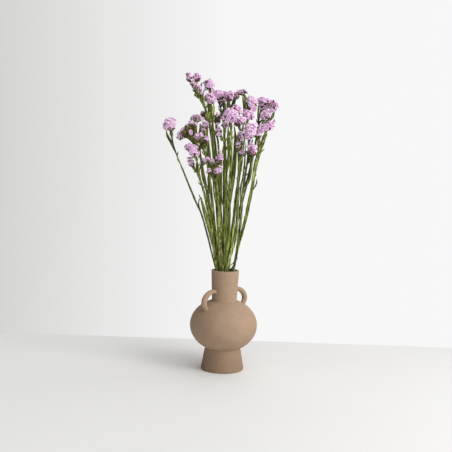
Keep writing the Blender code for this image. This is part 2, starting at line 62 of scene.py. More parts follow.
camera.rotation_euler = Matrix((picture_right, picture_up, -forward)).transposed().to_euler()
bpy.context.scene.camera = camera
bpy.context.scene.view_settings.view_transform = "Standard"

# Vase
# Matte taupe stoneware, turned on a wheel: a flared hollow foot, a round body and a tall neck with a thin
# rounded rim. It is drawn up from its underside ring by ring, over the rim and down the inside.
VASE_SIDES = 96
NECK_BASE = 152.9
BODY_MIDDLE = 98.5
BODY_RADIUS = 74.1
BODY_RISE = 58.7
WAIST = 48.5
WALL = 4.8
BODY_STEPS = 28
INNER_STEPS = 14
FOOT_OUTSIDE = [(44.1, 0.0), (45.6, 0.3), (46.7, 1.2), (47.1, 3.0), (45.4, 13.0), (43.0, 27.0), (40.4, 41.0),
                (39.1, 48.3)]
NECK_OUTSIDE = [(27.6, 152.6), (27.3, 153.4), (27.9, 165.0), (28.7, 184.0), (29.6, 203.0), (30.4, 218.2)]
RIM = [(30.2, 219.2), (29.6, 219.8), (28.6, 220.0), (27.2, 220.0), (26.3, 219.7), (25.8, 219.0),
       (25.6, 218.0)]
NECK_INSIDE = [(24.7, 196.0), (23.4, 168.0), (22.5, 153.0)]
FOOT_INSIDE = [(35.5, 35.0), (37.6, 12.0), (36.0, 9.5), (32.6, 8.0), (3.0, 8.0)]
body_outside = []
low = math.asin((WAIST - BODY_MIDDLE) / BODY_RISE)
high = math.asin((NECK_BASE - BODY_MIDDLE) / BODY_RISE)
for step in range(1, BODY_STEPS):
    angle = low + (high - low) * step / BODY_STEPS
    body_outside.append((BODY_RADIUS * math.cos(angle), BODY_MIDDLE + BODY_RISE * math.sin(angle)))
body_inside = []
inner_rise = BODY_RISE - WALL / 2
low = math.asin((WAIST - BODY_MIDDLE) / inner_rise)
high = math.asin((NECK_BASE - WALL - BODY_MIDDLE) / inner_rise)
for step in range(INNER_STEPS + 1):
    angle = high + (low - high) * step / INNER_STEPS
    body_inside.append(((BODY_RADIUS - WALL) * math.cos(angle), BODY_MIDDLE + inner_rise * math.sin(angle)))


def turned_form(name, sides, outline):
    """Closed round form, drawn up ring by ring through an outline of radius and height in millimetres."""
    bpy.ops.mesh.primitive_circle_add(vertices=sides, radius=outline[0][0] * MM, fill_type="NGON")
    form = bpy.context.object
    form.name = name
    bpy.ops.object.mode_set(mode="EDIT")
    bpy.ops.mesh.select_all(action="SELECT")
    for (last_radius, last_height), (radius, height) in zip(outline, outline[1:]):
        climb = (0, 0, (height - last_height) * MM)
        bpy.ops.mesh.extrude_region_move(TRANSFORM_OT_translate={"value": climb})
        share = radius / last_radius
        bpy.ops.transform.resize(value=(share, share, 1.0), center_override=(0, 0, height * MM))
    bpy.ops.mesh.select_all(action="SELECT")
    bpy.ops.mesh.normals_make_consistent(inside=False)
    bpy.ops.object.mode_set(mode="OBJECT")
    return form


vase = turned_form("vase_clay", VASE_SIDES,
                   FOOT_OUTSIDE + body_outside + NECK_OUTSIDE + RIM + NECK_INSIDE + body_inside + FOOT_INSIDE)

# Handles
# Two rolled coils of the same clay, each bent into a small upright loop and smeared onto the neck and the
# shoulder, so the coil thickens where it is pressed on. They are fired as one with the body.
HANDLE_LINE = ((24.5, 172.5), (30, 174.5), (36, 175.4), (46, 173.6), (55.5, 167.5), (61.8, 158), (61.8, 148),
               (55, 138), (49, 132))
HANDLE_THICK = (4.6, 4.4, 4.7, 5.4, 6.0, 6.2, 6.0, 5.2, 5.0)
HANDLE_TURNS = (42.5, 225.8)
for turn in HANDLE_TURNS:
    bpy.ops.curve.primitive_nurbs_path_add()
    coil = bpy.context.object
    coil.data.splines.clear()
    strand = coil.data.splines.new("NURBS")
    strand.points.add(len(HANDLE_LINE) - 1)
    for point, (reach, height), thick in zip(strand.points, HANDLE_LINE, HANDLE_THICK):
        across = reach * math.cos(math.radians(turn))
        back = reach * math.sin(math.radians(turn))
        point.co = (across * MM, back * MM, height * MM, 1.0)
        point.radius = thick
    strand.order_u = 3
    strand.use_endpoint_u = True
    strand.resolution_u = 6
    coil.data.dimensions = "3D"
    coil.data.bevel_depth = MM
    coil.data.bevel_resolution = 6
    coil.data.use_fill_caps = True
    bpy.ops.object.convert(target="MESH")
    coil = bpy.context.object
    coil.name = "handle_coil"
    bpy.ops.object.select_all(action="DESELECT")
    vase.select_set(True)
    bpy.context.view_layer.objects.active = vase
    luting = vase.modifiers.new("luting", "BOOLEAN")
    luting.operation = "UNION"
    luting.object = coil
    luting.solver = "EXACT"
    bpy.ops.object.modifier_apply(modifier="luting")
    bpy.data.objects.remove(coil)
bpy.ops.object.shade_smooth_by_angle(angle=math.radians(32.0))


def shader_named(name, roughness):
    """New material with its colour still to be wired, its node tree, shader and object coordinates."""
    material = bpy.data.materials.new(name)
    material.use_nodes = True
    tree = material.node_tree
    shader = tree.nodes["Principled BSDF"]
    shader.inputs["Roughness"].default_value = roughness
    return material, tree, shader, tree.nodes.new("ShaderNodeTexCoord").outputs["Object"]


def coloured_by(tree, source, stops):
    """Colour ramp fed by a value."""
    ramp = tree.nodes.new("ShaderNodeValToRGB")
    while len(ramp.color_ramp.elements) > 1:
        ramp.color_ramp.elements.remove(ramp.color_ramp.elements[0])
    for number, (place, colour) in enumerate(stops):
        element = ramp.color_ramp.elements[0] if number == 0 else ramp.color_ramp.elements.new(place)
        element.position = place
        element.color = (*colour, 1.0)
    tree.links.new(source, ramp.inputs["Fac"])
    return ramp.outputs["Color"]


def noise_on(tree, where, scale, detail, roughness=0.5):
    """Noise laid on coordinates."""
    cloudy = tree.nodes.new("ShaderNodeTexNoise")
    cloudy.inputs["Scale"].default_value = scale
    cloudy.inputs["Detail"].default_value = detail
    cloudy.inputs["Roughness"].default_value = roughness
    tree.links.new(where, cloudy.inputs["Vector"])
    return cloudy.outputs["Fac"]


def stretched(tree, where, scale):
    """Coordinates scaled by a Mapping node."""
    mapping = tree.nodes.new("ShaderNodeMapping")
    mapping.inputs["Scale"].default_value = scale
    tree.links.new(where, mapping.inputs["Vector"])
    return mapping.outputs["Vector"]


def mixed(tree, kind, amount, first, second):
    """Two colours mixed; amount is a number or a socket."""
    mix = tree.nodes.new("ShaderNodeMix")
    mix.data_type = "RGBA"
    mix.blend_type = kind
    if isinstance(amount, float):
        mix.inputs[0].default_value = amount
    else:
        tree.links.new(amount, mix.inputs[0])
    for socket, value in ((mix.inputs[6], first), (mix.inputs[7], second)):
        if isinstance(value, tuple):
            socket.default_value = (*value, 1.0)
        else:
            tree.links.new(value, socket)
    return mix.outputs[2]


def roughened(tree, shader, height, strength, distance):
    """Bump from a height value."""
    bump = tree.nodes.new("ShaderNodeBump")
    bump.inputs["Strength"].default_value = strength
    bump.inputs["Distance"].default_value = distance
    tree.links.new(height, bump.inputs["Height"])
    tree.links.new(bump.outputs["Normal"], shader.inputs["Normal"])


CLAY_DARK = (0.382, 0.262, 0.178)
CLAY_LIGHT = (0.430, 0.302, 0.208)
CLAY_SPECK = (0.205, 0.145, 0.105)
clay, tree, shader, place = shader_named("stoneware", 0.86)
shader.inputs["Specular IOR Level"].default_value = 0.28
cloud = noise_on(tree, stretched(tree, place, (1.0, 1.0, 1.6)), 22.0, 5.0, 0.6)
body_colour = coloured_by(tree, cloud, ((0.32, CLAY_DARK), (0.68, CLAY_LIGHT)))
grain = noise_on(tree, place, 520.0, 5.0, 0.75)
grain_colour = coloured_by(tree, grain, ((0.34, (0.78, 0.78, 0.78)), (0.62, (1.08, 1.08, 1.07))))
speck = tree.nodes.new("ShaderNodeTexVoronoi")
speck.inputs["Scale"].default_value = 420.0
tree.links.new(place, speck.inputs["Vector"])
speck_mask = coloured_by(tree, speck.outputs["Distance"],
                         ((0.10, (0.55, 0.55, 0.55)), (0.19, (0.0, 0.0, 0.0))))
clay_colour = mixed(tree, "MULTIPLY", 1.0, body_colour, grain_colour)
clay_colour = mixed(tree, "MIX", speck_mask, clay_colour, CLAY_SPECK)
# Painted shade: the clay is darkened towards the foot by a ramp on height. It stands for the shade the round
# body casts on the foot, not for a darker clay.
rise = tree.nodes.new("ShaderNodeSeparateXYZ")
tree.links.new(place, rise.inputs["Vector"])
foot_painted_shade = coloured_by(tree, rise.outputs["Z"],
                          ((0.020, (0.74, 0.72, 0.70)), (0.060, (1.0, 1.0, 1.0))))
clay_colour = mixed(tree, "MULTIPLY", 1.0, clay_colour, foot_painted_shade)
tree.links.new(clay_colour, shader.inputs["Base Color"])
turning = noise_on(tree, stretched(tree, place, (0.6, 0.6, 55.0)), 9.0, 3.0)
GREY_RAMP = ((0.0, (0, 0, 0)), (1.0, (1, 1, 1)))
height = mixed(tree, "MIX", 0.30, coloured_by(tree, grain, GREY_RAMP),
               coloured_by(tree, turning, GREY_RAMP))
roughened(tree, shader, height, 0.35, 0.0006)
vase.data.materials.clear()
vase.data.materials.append(clay)
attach(vase, "root")
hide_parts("vase")

# Stalks
# Each stalk of statice is a slender core with three thin green wings, dry and slightly wavy, standing on the
# vase's floor. It forks near its top, and every fork runs on to one head.


def spray(depth, root, radius, stem, heads, bracts, tone):
    """One stalk's measures, in millimetres.

    depth: how far its flowers lie behind the vase's axis; root: where it stands in the neck;
    stem: the stalk above the rim, as it appears from the front, across and height;
    heads: across, height, width, length, lean in degrees, further depth, and how far down the
    stalk the head's branch starts; bracts: how far below the first head, length and lean.
    """
    return dict(depth=depth, root=root, radius=radius, stem=stem, heads=heads, bracts=bracts, tone=tone)


SPRAYS = {
    "far_left": spray(
        0, (-19, 0), 1.7, ((-52, 331), (-71, 372), (-100, 436), (-119, 480), (-124, 505)),
        ((-131, 533, 26, 31, 16, 0, 0),), ((28, 15, -24), (48, 13, 26)), "dark"),
    "low_left": spray(
        -50, (-15.8, -6.2), 2.7, ((-25, 252), (-37, 329), (-52, 390), (-66, 426)),
        ((-80, 481, 32, 20, 25, -6, 0), (-82, 452, 12, 20, -32, 9, 6), (-54, 457, 11, 15, 28, 12, 12)),
        ((20, 14, 28), (38, 15, -26), (62, 16, -30), (68, 14, 26)), "green"),
    "left": spray(
        32, (-15.8, 6.2), 2.8, ((-19, 252), (-32, 318), (-46, 394), (-61, 462), (-66, 486)),
        ((-73, 549, 21, 17, 4, 0, 0), (-96, 519, 52, 19, -48, -26, 20)),
        ((13, 16, -30), (28, 18, 30), (44, 17, -32), (60, 17, 24), (76, 18, -36), (94, 15, 20)), "olive"),
    "top_left": spray(
        4, (-12.2, 0), 3.1, ((-16, 286), (-23, 373), (-33, 460), (-44, 535), (-56, 573), (-68, 598)),
        ((-92, 636, 14, 20, -24, -4, 0), (-75, 636, 17, 20, 8, 6, 4), (-72, 615, 18, 13, 20, -13, 16)),
        ((20, 13, -34), (60, 17, 32), (95, 15, 22)), "green"),
    "left_inner": spray(
        -22, (-8.6, -6.2), 2.6, ((-15, 253), (-26, 318), (-37, 395), (-47, 449), (-53, 478)),
        ((-54, 534, 15, 20, 6, 4, 0), (-71, 508, 13, 17, -30, -6, 4), (-51, 504, 13, 17, 22, -12, 10)),
        ((20, 15, 30), (50, 15, -28), (64, 14, 30)), "olive"),
    "left_crown": spray(
        30, (-8.6, 6.2), 2.7, ((-9, 286), (-18, 373), (-29, 482), (-37, 535), (-40, 566)),
        ((-48, 622, 22, 24, -8, 8, 0), (-45, 592, 24, 22, 6, -15, 6)),
        ((15, 14, 26), (36, 15, -28), (52, 15, -30), (64, 13, 24)), "green"),
    "back": spray(
        64, (-12.2, 12.5), 2.2, ((-14, 264), (-17, 341), (-20, 417), (-23, 473), (-26, 520)),
        ((-28, 548, 16, 24, 4, 0, 0), (-60, 559, 10, 14, -34, 0, 26)), ((24, 12, 30),), "dark"),
    "lowest": spray(
        -60, (-5, -12.5), 2.6, ((-11, 264), (-17, 330), (-22, 376), (-25, 404)),
        ((-36, 457, 12, 12, -12, 10, 0), (-20, 463, 12, 24, 10, 4, 4), (-23, 437, 15, 14, 14, -8, 10),
         (-42, 435, 10, 13, -30, -6, 14)),
        ((20, 13, -26), (64, 13, 28)), "olive"),
    "crown": spray(
        58, (-5, 12.5), 2.3, ((-6, 308), (-9, 417), (-12, 504), (-15, 543), (-13, 560)),
        ((-26, 600, 35, 23, -8, 0, 0), (-5, 598, 21, 25, 4, -22, 3), (11, 600, 14, 18, 22, 6, 6)),
        ((10, 15, 28), (26, 18, 20), (34, 15, -20), (54, 13, 30)), "dark"),
    "middle": spray(
        -14, (-3.4, 0), 3.5, ((0, 286), (-5, 396), (-9, 482), (-11, 512)),
        ((-11, 537, 16, 11, 0, 0, 0), (-24, 524, 11, 19, -20, -9, 12)),
        ((28, 16, -20), (46, 17, 16)), "pale"),
    "middle_front": spray(
        -45, (-1.4, -7.2), 2.7, ((5, 286), (4, 396), (4, 483), (4, 524)),
        ((0, 558, 31, 28, -4, -3, 0), (15, 571, 25, 16, 42, 17, 12)),
        ((32, 14, 24), (50, 14, -20)), "green"),
    "right_crown": spray(
        30, (2.2, 13), 2.5, ((7, 264), (15, 342), (23, 440), (28, 527), (30, 574)),
        ((22, 608, 22, 13, -10, 6, 0), (45, 585, 26, 28, 24, -10, 4)),
        ((10, 15, 28), (34, 16, -28), (46, 17, 26), (64, 14, 34)), "olive"),
    "right_front": spray(
        -4, (5.8, -5.4), 2.4, ((11, 264), (18, 375), (27, 451), (31, 500), (33, 520)),
        ((38, 559, 27, 19, 4, 0, 0), (17, 544, 19, 18, -16, -8, 8)),
        ((10, 15, -30), (32, 16, 26), (50, 13, -24)), "green"),
    "low_middle": spray(
        -30, (2.2, -13.2), 2.5, ((11, 253), (21, 309), (23, 407), (22, 444)),
        ((22, 514, 12, 21, 4, 6, 0), (19, 496, 13, 13, -14, -5, 6), (27, 477, 14, 15, 16, -13, 12)),
        ((14, 14, -28), (42, 15, 28), (66, 15, 26), (82, 13, -26)), "pale"),
    "right_low": spray(
        -56, (10.4, -10.4), 2.4, ((21, 238), (28, 309), (32, 386), (39, 445), (40, 462)),
        ((44, 525, 25, 32, 4, 6, 0), (51, 483, 18, 28, 16, -8, 10)),
        ((28, 15, -26), (62, 14, -22), (74, 15, 28)), "dark"),
    "far_right": spray(
        22, (7.2, 6.2), 2.5, ((10, 253), (24, 331), (37, 397), (46, 441), (58, 512), (62, 548)),
        ((71, 590, 32, 18, 4, 10, 0), (92, 583, 24, 23, 24, -8, 14), (78, 562, 20, 17, 22, -21, 30)),
        ((12, 14, 28), (38, 14, -24), (58, 18, 34), (72, 14, 30)), "dark"),
    "low_right": spray(
        0, (16, 0), 3.0, ((24, 261), (41, 332), (52.6, 408), (56.8, 437), (68.4, 490)),
        ((78, 535, 36, 18, -22, -5, 0), (61, 516, 14, 14, -12, -8, 6)),
        ((14, 15, -28), (42, 15, 30), (56, 16, -20), (98, 12, 28)), "green"),
}
# Leafy side shoots without flowers: width, height of the stalk where the shoot starts, further depth at its
# tip, and the points it passes as they appear from the front.
SHOOTS = {
    "far_left": (
        (6, 470, 0, ((-126, 494), (-134, 508), (-139, 523))),
        (2.4, 345, 0, ((-63, 364), (-60, 376), (-56, 373), (-57, 363)))),
    "low_left": (
        (8, 262, 0, ((-39, 308), (-48, 341), (-57, 372), (-63, 384))),
        (4, 408, 0, ((-67, 426), (-70, 452), (-66, 463)))),
    "left": (
        (9, 478, -6, ((-62, 502), (-65, 538))),
        (8, 478, 0, ((-78, 496), (-92, 507), (-110, 510))),
        (9, 500, -8, ((-76, 522), (-73, 550))),
        (6, 490, 0, ((-80, 512), (-84, 545))),
        (5, 380, 0, ((-42, 400), (-44, 432)))),
    "top_left": (
        (3, 345, -12, ((-29, 380), (-33, 418), (-36, 438))),
        (10, 398, -10, ((-38, 434), (-43, 460), (-47, 512))),
        (7, 574, -6, ((-62, 596), (-58, 610))),
        (6, 590, 6, ((-66, 610), (-64, 626))),
        (5, 470, 8, ((-38, 500), (-40, 540)))),
    "left_inner": ((6, 380, 0, ((-54, 415), (-58, 456))), (6, 476, 0, ((-50, 510), (-51, 540)))),
    "left_crown": (
        (6, 548, 4, ((-38, 562), (-37, 582))),
        (7, 540, -6, ((-46, 560), (-50, 590)))),
    "lowest": ((3, 340, 0, ((-22, 349), (-16, 358))), (6, 380, -4, ((-28, 404), (-24, 448)))),
    "crown": (
        (8, 552, 0, ((-14, 572), (-17, 594))),
        (5, 545, -12, ((-20, 562), (-27, 572))),
        (8, 545, 0, ((-5, 570), (-3, 591))),
        (7, 548, 6, ((3, 574), (8, 588), (12, 600)))),
    "middle": (
        (9, 425, 12, ((-1, 470), (-3, 505), (-4, 532))),
        (5, 350, -6, ((-13, 372), (-16, 440), (-14, 490))),
        (5, 500, 4, ((1, 520), (2, 546)))),
    "middle_front": (
        (10, 366, 18, ((9, 415), (12, 445), (14, 500), (9, 534))),),
    "right_crown": (
        (5, 556, 0, ((28, 582), (23, 602))),
        (3.5, 560, 3, ((31, 582), (29, 604))),
        (2.6, 264, -10, ((9, 284), (11, 311))),
        (2.2, 280, -12, ((13, 292), (17, 287)))),
    "right_front": ((6, 505, 0, ((37, 530), (41, 542))),),
    "low_middle": ((4, 436, 0, ((20, 470), (17, 500), (14, 516))),
                   (2.4, 226, 0, ((24, 243), (25, 253)))),
    "right_low": ((4, 345, 14, ((27, 395), (32, 425), (35, 463), (35, 500))),
                  (6, 395, 0, ((46, 425), (50, 478))),
                  (6, 450, 0, ((46, 478), (50, 508)))),
    "far_right": (
        (8, 522, 8, ((78, 545), (90, 558), (95, 575))),
        (4.5, 540, 0, ((60, 560), (62, 590))),
        (2.4, 404, -6, ((43, 428), (47, 439), (51, 448))),
        (2.2, 420, -6, ((45, 431), (49, 432)))),
    "low_right": (
        (5, 376, -6, ((52, 415), (56, 450), (61, 480))),
        (6, 470, 0, ((62, 492), (62, 512))),
        (5, 478, 0, ((71, 505), (77, 524))),
        (3.4, 392, -6, ((59, 406), (62, 413), (62.5, 423)))),
}
# Heads whose branch meets them from another side than straight below; the lean there, in degrees
NECK_LEANS = {"far_left_1": -12, "low_left_1": -22, "low_right_1": 2, "far_right_1": 16, "right_crown_1": -38}
STEM_BOTTOM = 8.3
SHOULDER = 150.0
MOUTH_HEIGHT = 222.0
MOUTH_SPREAD = 1.15
WING_SWELL = 0.62
WING_HOLDS = 0.86
FULLNESS = 1.08
CUP_GAP = 0.35
CUP_HEIGHT = 6.0
BRANCH_RADIUS = 1.9
FINE_STEPS = 8
CURVE_PULL = 0.4
NOD_BY_DEPTH = -0.25
WING_EDGE = 2.6


def in_depth(across, height, depth):
    """Point that appears at across and height on the plane of the vase's axis, moved to its depth."""
    flat = Vector((across, 0.0, height))
    return EYE + (flat - EYE) * ((depth - EYE.y) / -EYE.y)


def smooth_line(points, steps):
    """Even points along a smooth curve through the given ones."""
    ends = [2 * points[0] - points[1]] + list(points) + [2 * points[-1] - points[-2]]
    fine = []
    for before, start, end, after in zip(ends, ends[1:], ends[2:], ends[3:]):
        for count in range(FINE_STEPS):
            t = count / FINE_STEPS
            fine.append(0.5 * (2 * start + (end - before) * t
                               + (2 * before - 5 * start + 4 * end - after) * t ** 2
                               + (3 * start - before - 3 * end + after) * t ** 3))
    fine.append(points[-1].copy())
    reach = [0.0]
    for start, end in zip(fine, fine[1:]):
        reach.append(reach[-1] + (end - start).length)
    even = []
    place = 0
    for count in range(steps + 1):
        wanted = reach[-1] * count / steps
        while place < len(fine) - 2 and reach[place + 1] < wanted:
            place += 1
        share = (wanted - reach[place]) / (reach[place + 1] - reach[place])
        even.append(fine[place].lerp(fine[place + 1], min(max(share, 0.0), 1.0)))
    return even


def curve_between(start, start_way, end, end_way, steps):
    """Bent line that leaves start along start_way and reaches end along end_way."""
    pull = CURVE_PULL * (end - start).length
    first = start + start_way * pull
    second = end - end_way * pull
    line = []
    for count in range(steps + 1):
        t = count / steps
        line.append((1 - t) ** 3 * start + 3 * t * (1 - t) ** 2 * first
                    + 3 * t ** 2 * (1 - t) * second + t ** 3 * end)
    return line


def stalk_line(measures, steps):
    """Middle line of a stalk, from the vase's floor to its top."""
    root = Vector((*measures["root"], 0.0))
    mouth = Vector((root.x * MOUTH_SPREAD, root.y * MOUTH_SPREAD, MOUTH_HEIGHT))
    top_height = measures["stem"][-1][1]
    upper = [mouth]
    for across, height in measures["stem"]:
        share = (height - MOUTH_HEIGHT) / (top_height - MOUTH_HEIGHT)
        upper.append(in_depth(across, height, mouth.y + (measures["depth"] - mouth.y) * share))
    return [root + Vector((0, 0, STEM_BOTTOM)), root + Vector((0, 0, SHOULDER))], smooth_line(upper, steps)


def head_frame(measures, head):
    """Middle of a head, the way it faces and its seat on the branch."""
    across, height, width, length, lean, further, below = head
    depth = measures["depth"] + further
    nod = math.radians(NOD_BY_DEPTH * depth)
    facing = Vector((math.sin(math.radians(lean)), -math.sin(nod), math.cos(math.radians(lean)))).normalized()
    middle = in_depth(across, height, depth)
    return middle, facing, middle - facing * (FULLNESS * length / 2.0)


def neck_frame(name, number, measures):
    """The way a head's branch points where it meets the head, and the spot where it does."""
    head = measures["heads"][number]
    middle, facing, seat = head_frame(measures, head)
    lean = NECK_LEANS.get(f"{name}_{number + 1}")
    if lean is None:
        return facing, seat
    way = Vector((math.sin(math.radians(lean)), facing.y, math.cos(math.radians(lean)))).normalized()
    straight = way.dot(facing)
    sideways = math.sqrt(max(1.0 - straight * straight, 0.0))
    reach = FULLNESS / 2.0 / math.hypot(straight / head[3], sideways / head[2])
    return way, middle - way * reach


def point_below(line, distance):
    """Point on a line at a distance from its end, with the line's direction there."""
    for end, start in zip(line[::-1], line[-2::-1]):
        span = (end - start).length
        if distance <= span:
            return end.lerp(start, distance / span), (end - start).normalized()
        distance -= span
    return line[0], (line[1] - line[0]).normalized()


def point_at_height(line, height):
    """Point where a rising line passes a height."""
    for low, high in zip(line, line[1:]):
        if low.z <= height <= high.z:
            return low.lerp(high, (height - low.z) / (high.z - low.z))
    return line[-1]


def winged_profile(name, reach, groove, points_per_wing):
    """Closed section of a stalk: three wings on a slender core, drawn as a flat curve of unit size."""
    bpy.ops.curve.primitive_bezier_circle_add()
    profile = bpy.context.object
    profile.name = name
    profile.data.splines.clear()
    ring = profile.data.splines.new("POLY")
    total = 3 * points_per_wing
    ring.points.add(total - 1)
    for count, point in enumerate(ring.points):
        angle = math.tau * count / total
        sharpness = (0.5 + 0.5 * math.cos(3.0 * angle)) ** WING_EDGE
        radius = (groove + (reach - groove) * sharpness) * MM
        point.co = (radius * math.cos(angle), radius * math.sin(angle), 0.0, 1.0)
    ring.use_cyclic_u = True
    profile.data.dimensions = "2D"
    profile.data.fill_mode = "NONE"
    return profile


def swept(name, line, sizes, turns, profile):
    """A profile carried along a line of points, with its size and turn at each, as a closed mesh."""
    bpy.ops.curve.primitive_nurbs_path_add()
    path = bpy.context.object
    path.name = name
    path.data.splines.clear()
    strand = path.data.splines.new("POLY")
    strand.points.add(len(line) - 1)
    for point, spot, size, turn in zip(strand.points, line, sizes, turns):
        point.co = (*(spot * MM), 1.0)
        point.radius = size
        point.tilt = turn
    path.data.dimensions = "3D"
    path.data.twist_mode = "MINIMUM"
    path.data.bevel_mode = "OBJECT"
    path.data.bevel_object = profile
    path.data.use_fill_caps = True
    bpy.ops.object.convert(target="MESH")
    return bpy.context.object


def joined(name, pieces):
    """Pieces made one mesh under a plain name, its place in the mesh."""
    bpy.ops.object.select_all(action="DESELECT")
    for piece in pieces:
        piece.select_set(True)
    bpy.context.view_layer.objects.active = pieces[0]
    bpy.ops.object.join()
    whole = bpy.context.object
    whole.name = name
    bpy.ops.object.transform_apply(location=True, rotation=True, scale=True)
    return whole


STALK_STEPS = 44
BRANCH_STEPS = 9
JOIN_BACK = 4
STALK_TAPER = 0.25
RIPPLE = 0.07
BRANCH_EASES = 0.35
BRANCH_FLARE = 0.35
SHOOT_STEPS = 12
SHOOT_REACH = 0.58
SHOOT_FULL_FROM = 0.35
SHOOT_POINTS_FROM = 0.75
stalk_profile = winged_profile("stalk_section", 1.0, 0.40, 8)
branch_profile = winged_profile("branch_section", 1.0, 0.55, 4)
bpy.ops.curve.primitive_bezier_circle_add(radius=MM)
cup_profile = bpy.context.object
cup_profile.data.resolution_u = 3
stalks = {}
paths = {}
for number, (name, measures) in enumerate(SPRAYS.items()):
    chance = random.Random(40 + number)
    lower, upper = stalk_line(measures, STALK_STEPS)
    first_way, first_seat = neck_frame(name, 0, measures)
    grown = upper[:-JOIN_BACK]
    way_up = (grown[-1] - grown[-2]).normalized()
    neck = first_seat - first_way * (CUP_GAP + CUP_HEIGHT)
    to_head = curve_between(grown[-1], way_up, neck, first_way, BRANCH_STEPS + JOIN_BACK)
    line = lower + grown + to_head[1:]
    paths[name] = line
    sizes = []
    turns = []
    phase = chance.uniform(0.0, 6.0)
    for count in range(len(line)):
        along = max(count - 2, 0) / STALK_STEPS
        if along <= 1.0:
            share = (count + 4.0) / (STALK_STEPS + 8.0)
            swell = math.sin(math.pi * min(along, WING_HOLDS))
            size = measures["radius"] * (1.0 + WING_SWELL * swell - STALK_TAPER * share)
            ripple = 1.0 + RIPPLE * math.sin(1.9 * count + phase) + chance.uniform(-0.05, 0.05)
            last_size = size * ripple
        else:
            last_size += (BRANCH_RADIUS - last_size) * BRANCH_EASES
        sizes.append(last_size)
        turns.append(0.1 * measures["depth"] + 0.055 * count + 0.10 * math.sin(0.7 * count + phase))
    parts = [swept("stalk", line, sizes, turns, stalk_profile)]
    for place_in_spray, head in list(enumerate(measures["heads"]))[1:]:
        facing, seat = neck_frame(name, place_in_spray, measures)
        start, start_way = point_below(upper, head[6])
        neck = seat - facing * (CUP_GAP + CUP_HEIGHT)
        branch = curve_between(start, start_way, neck, facing, BRANCH_STEPS)
        widths = [BRANCH_RADIUS * (1.0 + BRANCH_FLARE - BRANCH_FLARE * count / BRANCH_STEPS)
                  for count in range(BRANCH_STEPS + 1)]
        turns_of_branch = [0.12 * count for count in range(BRANCH_STEPS + 1)]
        parts.append(swept("branch", branch, widths, turns_of_branch, branch_profile))
    for width, start_height, further, spots in SHOOTS.get(name, ()):
        corners = [point_at_height(line, start_height)]
        for count, (across, height) in enumerate(spots):
            depth = corners[0].y + further * (count + 1) / len(spots)
            corners.append(in_depth(across, height, depth))
        shoot = smooth_line(corners, SHOOT_STEPS)
        widths = []
        for count in range(SHOOT_STEPS + 1):
            along = count / SHOOT_STEPS
            filling = 0.5 + 0.5 * min(along / SHOOT_FULL_FROM, 1.0)
            pointing = 1.0 - 0.8 * max(along - SHOOT_POINTS_FROM, 0.0) / (1.0 - SHOOT_POINTS_FROM)
            widths.append(SHOOT_REACH * width * filling * pointing * chance.uniform(0.90, 1.08))
        turns = [phase + 0.10 * count for count in range(SHOOT_STEPS + 1)]
        parts.append(swept("shoot", shoot, widths, turns, stalk_profile))
    stalks[name] = parts

# Calyx cups
# Under every head the branch swells into a small green cup, ringed by narrow dry scales that hold the
# florets.
SCALE_LENGTH = 6.2
SCALE_WIDTH = 2.3
CUP_SCALES = 15
CUP_SIZES = (1.2, 1.5, 2.9, 3.4)


def leaf_grown(name, block, flare, steps):
    """Thin closed leaf grown from a small block, whose top is flared and then drawn on step by step.

    Each step holds its rise and its lean in millimetres, and its shares of width and of thickness.
    """
    bpy.ops.mesh.primitive_cube_add(size=MM)
    leaf = bpy.context.object
    leaf.name = name
    bpy.ops.transform.resize(value=block)
    bpy.ops.transform.translate(value=(0.0, 0.0, block[2] / 2.0 * MM))
    bpy.ops.object.transform_apply(location=True, rotation=False, scale=True)
    bpy.ops.object.mode_set(mode="EDIT")
    bpy.ops.mesh.select_mode(type="FACE")
    bpy.ops.mesh.select_all(action="DESELECT")
    bpy.ops.object.mode_set(mode="OBJECT")
    top = max(leaf.data.polygons, key=lambda face: face.center.z)
    for face in leaf.data.polygons:
        face.select = face.index == top.index
    bpy.ops.object.mode_set(mode="EDIT")
    bpy.ops.transform.resize(value=(flare, 1.0, 1.0))
    for rise, lean, widen, thin in steps:
        bpy.ops.mesh.extrude_region_move(TRANSFORM_OT_translate={"value": (0.0, lean * MM, rise * MM)})
        bpy.ops.transform.resize(value=(widen, thin, 1.0))
    bpy.ops.object.mode_set(mode="OBJECT")
    leaf.hide_render = True
    return leaf


scale_leaf = leaf_grown("dry_scale", (SCALE_WIDTH * 0.55, 0.42, SCALE_LENGTH * 0.5), 1.8, (
    (0.30 * SCALE_LENGTH, -0.3, 0.70, 0.8), (0.24 * SCALE_LENGTH, -0.6, 0.10, 0.4)))


def turned_to(side, way):
    """Turn that points +X along side and +Z along way."""
    return Matrix((side, way.cross(side), way)).transposed()


def frame_along(way, spin):
    """Turn that points +Z along way, spun about it."""
    return turned_to(way.orthogonal().normalized(), way) @ Matrix.Rotation(spin, 3, "Z")


def placed_copy(model, middle, turned, size):
    """Copy of a model with its own mesh, put in place in millimetres."""
    copy = bpy.data.objects.new(model.name, model.data.copy())
    bpy.context.scene.collection.objects.link(copy)
    stretch = Matrix.Diagonal((size, size, size) if isinstance(size, float) else size)
    copy.matrix_world = Matrix.Translation(middle * MM) @ (turned @ stretch).to_4x4()
    return copy


def with_value(thing, name, value):
    """Gives a mesh one number that its material reads."""
    layer = thing.data.attributes.get(name) or thing.data.attributes.new(name, "FLOAT", "POINT")
    layer.data.foreach_set("value", [value] * len(thing.data.vertices))


